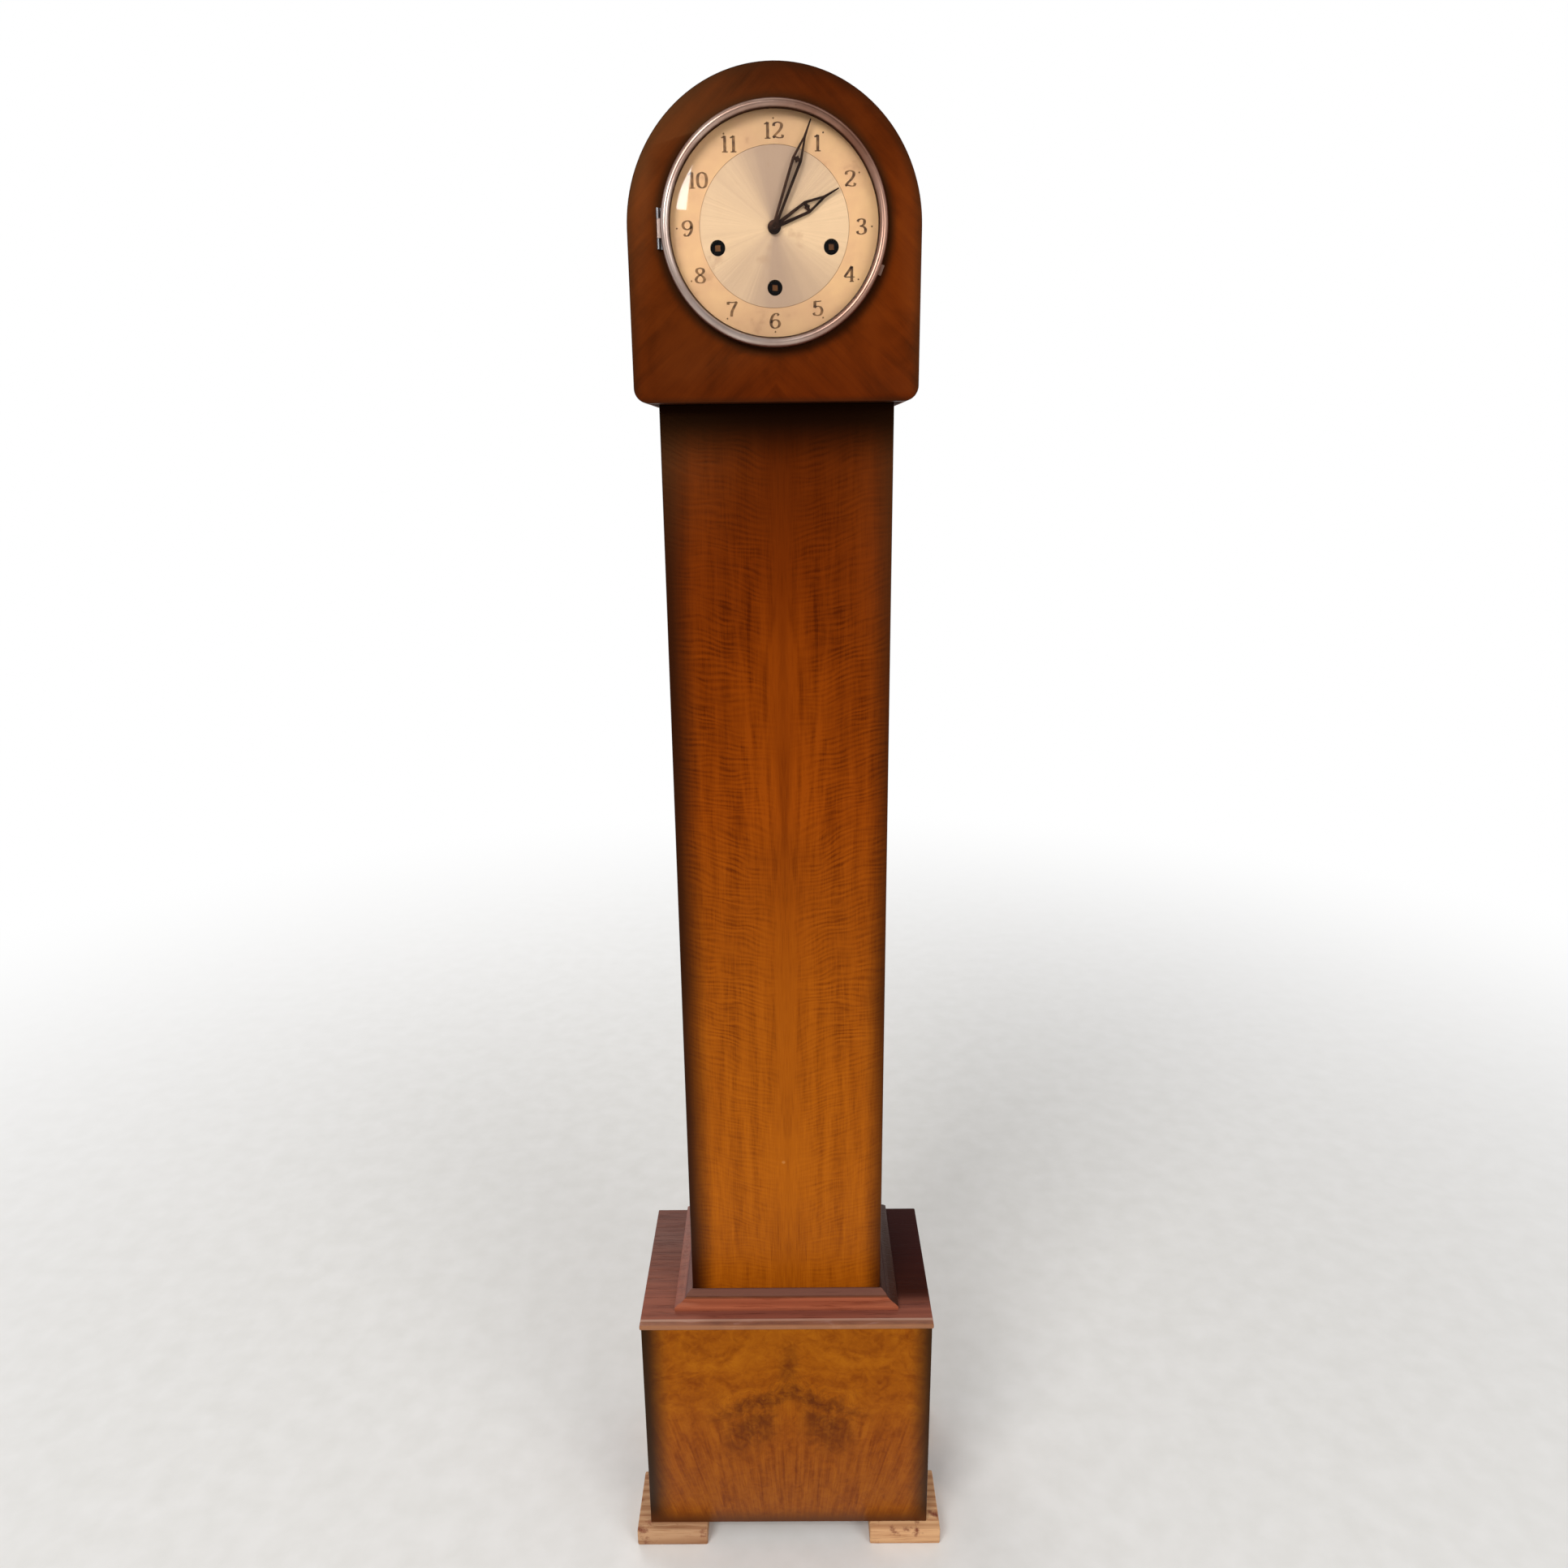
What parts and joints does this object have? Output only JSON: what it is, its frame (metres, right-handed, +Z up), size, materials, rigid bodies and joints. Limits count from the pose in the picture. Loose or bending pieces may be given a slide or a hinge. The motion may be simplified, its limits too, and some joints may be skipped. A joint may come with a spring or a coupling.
{
  "type": "grandmother clock",
  "caption": "Tall narrow walnut clock with an arched hood, a round silvered dial under a hinged glazed bezel, a plain trunk and a box plinth on block feet.",
  "frame": {"origin": "on the floor under the middle of the clock's outline", "axes": "+Z up, the dial and the front face -Y, +X to the right as seen from the front"},
  "size_m": [0.328, 0.198, 1.428],
  "materials": {
    "veneer_front": "figured walnut veneer under french polish",
    "veneer_side": "dark stained walnut under french polish",
    "plain_wood": "plain unpolished wood and plywood",
    "foot_wood": "pale bare wood",
    "silvered": "silvered brass with a warm chapter ring",
    "bezel_metal": "polished plated brass",
    "glass": "clear domed glass",
    "hand_metal": "dark bronzed steel",
    "brass": "brushed and lacquered",
    "steel": "ground steel",
    "cast_iron": "black japanned"
  },
  "bodies": {
    "case": {"feet": "foot_wood", "plinth_boards": "plain_wood", "plinth_front": "veneer_front", "plinth_sides": "veneer_side", "plinth_top": "veneer_side", "trunk_moulding": "veneer_side", "trunk_front": "veneer_front", "trunk_sides": "veneer_side", "trunk_back": "plain_wood", "hood_base": "veneer_side", "hood_front": "veneer_front", "hood_shell": "veneer_side", "hood_back": "plain_wood", "hood_rails": "plain_wood", "seat_board": "plain_wood", "door_hardware": "brass", "dial_plate": "silvered", "bezel_hinge": "bezel_metal", "front_plate": "brass", "back_plate": "brass", "plate_nuts": "steel", "suspension_cock": "brass", "chime_bracket": "brass", "gong_block": "cast_iron", "gong_rods": "steel"},
    "bezel": {"bezel": "bezel_metal", "bezel_glass": "glass"},
    "back_door": {"back_door": "plain_wood", "door_hinge_leaves": "brass"},
    "door_catch": {"door_catch": "brass"},
    "minute_hand": {"minute_hand": "hand_metal", "hand_nut": "brass", "cannon_pinion": "brass"},
    "minute_wheel": {"minute_wheel": "brass"},
    "hour_hand": {"hour_hand": "hand_metal", "hour_wheel": "brass"},
    "third_wheel": {"third_wheel": "brass"},
    "centre_wheel": {"centre_wheel": "brass"},
    "escape_wheel": {"escape_wheel": "brass"},
    "intermediate_wheel": {"intermediate_wheel": "brass"},
    "time_barrel": {"time_barrel": "brass"},
    "pendulum": {"pendulum_rod": "steel", "pendulum_bob": "brass", "rating_nut": "brass"},
    "anchor": {"anchor": "steel"},
    "time_arbor": {"time_arbor": "steel"},
    "strike_arbor": {"strike_arbor": "steel"},
    "chime_arbor": {"chime_arbor": "steel"},
    "time_click": {"time_click": "steel"},
    "strike_click": {"strike_click": "steel"},
    "chime_click": {"chime_click": "steel"},
    "strike_barrel": {"strike_barrel": "brass"},
    "strike_wheel": {"strike_wheel": "brass"},
    "chime_barrel": {"chime_barrel": "brass"},
    "chime_wheel": {"chime_wheel": "brass"},
    "chime_drum": {"chime_drum": "brass"},
    "hammer_1": {"hammer_1": "steel"},
    "hammer_2": {"hammer_2": "steel"},
    "hammer_3": {"hammer_3": "steel"},
    "hammer_4": {"hammer_4": "steel"}
  },
  "joints": [
    {"name": "bezel_swing", "type": "hinge", "parent": "case", "child": "bezel", "pos_m": [-0.0916, -0.0746, 1.311], "axis": [0, 0, -1], "range_deg": [0, 100]},
    {"name": "door_swing", "type": "hinge", "parent": "case", "child": "back_door", "pos_m": [-0.07025, 0.097, 1.311], "axis": [0, 0, 1], "range_deg": [0, 100]},
    {"name": "catch_turn", "type": "hinge", "parent": "case", "child": "door_catch", "pos_m": [0.077, 0, 1.3165], "axis": [0, 1, 0], "range_deg": [0, 90]},
    {"name": "minute_hand_turn", "type": "hinge", "parent": "case", "child": "minute_hand", "pos_m": [0, 0, 1.311], "axis": [0, 1, 0], "continuous": true},
    {"name": "minute_wheel_turn", "type": "hinge", "parent": "case", "child": "minute_wheel", "pos_m": [0.01018, 0, 1.32118], "axis": [0, 1, 0], "continuous": true},
    {"name": "hour_hand_turn", "type": "hinge", "parent": "case", "child": "hour_hand", "pos_m": [0, 0, 1.311], "axis": [0, 1, 0], "continuous": true},
    {"name": "third_wheel_turn", "type": "hinge", "parent": "case", "child": "third_wheel", "pos_m": [-0.00684, 0, 1.32979], "axis": [0, 1, 0], "continuous": true},
    {"name": "centre_wheel_turn", "type": "hinge", "parent": "case", "child": "centre_wheel", "pos_m": [0, 0, 1.311], "axis": [0, 1, 0], "continuous": true},
    {"name": "escape_wheel_turn", "type": "hinge", "parent": "case", "child": "escape_wheel", "pos_m": [0, 0, 1.34837], "axis": [0, 1, 0], "continuous": true},
    {"name": "intermediate_wheel_turn", "type": "hinge", "parent": "case", "child": "intermediate_wheel", "pos_m": [0.0108, 0, 1.29464], "axis": [0, 1, 0], "continuous": true},
    {"name": "time_barrel_turn", "type": "hinge", "parent": "case", "child": "time_barrel", "pos_m": [0, 0, 1.267], "axis": [0, 1, 0], "continuous": true},
    {"name": "pendulum_swing", "type": "hinge", "parent": "case", "child": "pendulum", "pos_m": [0, 0.005, 1.36497], "axis": [0, 1, 0], "range_deg": [-4, 4]},
    {"name": "anchor_rock", "type": "hinge", "parent": "case", "child": "anchor", "pos_m": [0, 0, 1.36497], "axis": [0, 1, 0], "range_deg": [-4, 4]},
    {"name": "time_winding", "type": "hinge", "parent": "case", "child": "time_arbor", "pos_m": [0, 0, 1.267], "axis": [0, 1, 0], "continuous": true},
    {"name": "time_click_lift", "type": "hinge", "parent": "case", "child": "time_click", "pos_m": [0.01039, -0.059, 1.261], "axis": [0, 1, 0], "range_deg": [0, 12], "stiffness_Nm_per_rad": 0.002},
    {"name": "strike_winding", "type": "hinge", "parent": "case", "child": "strike_arbor", "pos_m": [-0.045, 0, 1.2966], "axis": [0, 1, 0], "continuous": true},
    {"name": "strike_click_lift", "type": "hinge", "parent": "case", "child": "strike_click", "pos_m": [-0.03461, -0.059, 1.2906], "axis": [0, 1, 0], "range_deg": [0, 12], "stiffness_Nm_per_rad": 0.002},
    {"name": "chime_winding", "type": "hinge", "parent": "case", "child": "chime_arbor", "pos_m": [0.045, 0, 1.2966], "axis": [0, 1, 0], "continuous": true},
    {"name": "chime_click_lift", "type": "hinge", "parent": "case", "child": "chime_click", "pos_m": [0.05539, -0.059, 1.2906], "axis": [0, 1, 0], "range_deg": [0, 12], "stiffness_Nm_per_rad": 0.002},
    {"name": "strike_barrel_turn", "type": "hinge", "parent": "case", "child": "strike_barrel", "pos_m": [-0.045, 0, 1.2966], "axis": [0, 1, 0], "continuous": true},
    {"name": "strike_wheel_turn", "type": "hinge", "parent": "case", "child": "strike_wheel", "pos_m": [-0.03985, 0, 1.32583], "axis": [0, 1, 0], "continuous": true},
    {"name": "chime_barrel_turn", "type": "hinge", "parent": "case", "child": "chime_barrel", "pos_m": [0.045, 0, 1.2966], "axis": [0, 1, 0], "continuous": true},
    {"name": "chime_wheel_turn", "type": "hinge", "parent": "case", "child": "chime_wheel", "pos_m": [0.03985, 0, 1.32583], "axis": [0, 1, 0], "continuous": true},
    {"name": "chime_drum_turn", "type": "hinge", "parent": "case", "child": "chime_drum", "pos_m": [0.06348, 0, 1.32166], "axis": [0, 1, 0], "continuous": true},
    {"name": "hammer_1_lift", "type": "hinge", "parent": "case", "child": "hammer_1", "pos_m": [0.062, 0.011, 1.285], "axis": [0, 1, 0], "range_deg": [0, 15], "stiffness_Nm_per_rad": 0.06},
    {"name": "hammer_2_lift", "type": "hinge", "parent": "case", "child": "hammer_2", "pos_m": [0.062, 0.021, 1.285], "axis": [0, 1, 0], "range_deg": [0, 15], "stiffness_Nm_per_rad": 0.06},
    {"name": "hammer_3_lift", "type": "hinge", "parent": "case", "child": "hammer_3", "pos_m": [0.062, 0.031, 1.285], "axis": [0, 1, 0], "range_deg": [0, 15], "stiffness_Nm_per_rad": 0.06},
    {"name": "hammer_4_lift", "type": "hinge", "parent": "case", "child": "hammer_4", "pos_m": [0.062, 0.041, 1.285], "axis": [0, 1, 0], "range_deg": [0, 15], "stiffness_Nm_per_rad": 0.06}
  ],
  "couplings": [
    {"joint": "minute_wheel_turn", "follows": "minute_hand_turn", "ratio": -0.33333},
    {"joint": "hour_hand_turn", "follows": "minute_hand_turn", "ratio": 0.083333},
    {"joint": "centre_wheel_turn", "follows": "third_wheel_turn", "ratio": -0.11111},
    {"joint": "escape_wheel_turn", "follows": "third_wheel_turn", "ratio": -10},
    {"joint": "intermediate_wheel_turn", "follows": "third_wheel_turn", "ratio": 0.018519},
    {"joint": "time_barrel_turn", "follows": "third_wheel_turn", "ratio": -0.0030864},
    {"joint": "anchor_rock", "follows": "pendulum_swing", "ratio": 1},
    {"joint": "strike_wheel_turn", "follows": "strike_barrel_turn", "ratio": -6},
    {"joint": "chime_wheel_turn", "follows": "chime_barrel_turn", "ratio": -6},
    {"joint": "chime_drum_turn", "follows": "chime_barrel_turn", "ratio": 4}
  ]
}
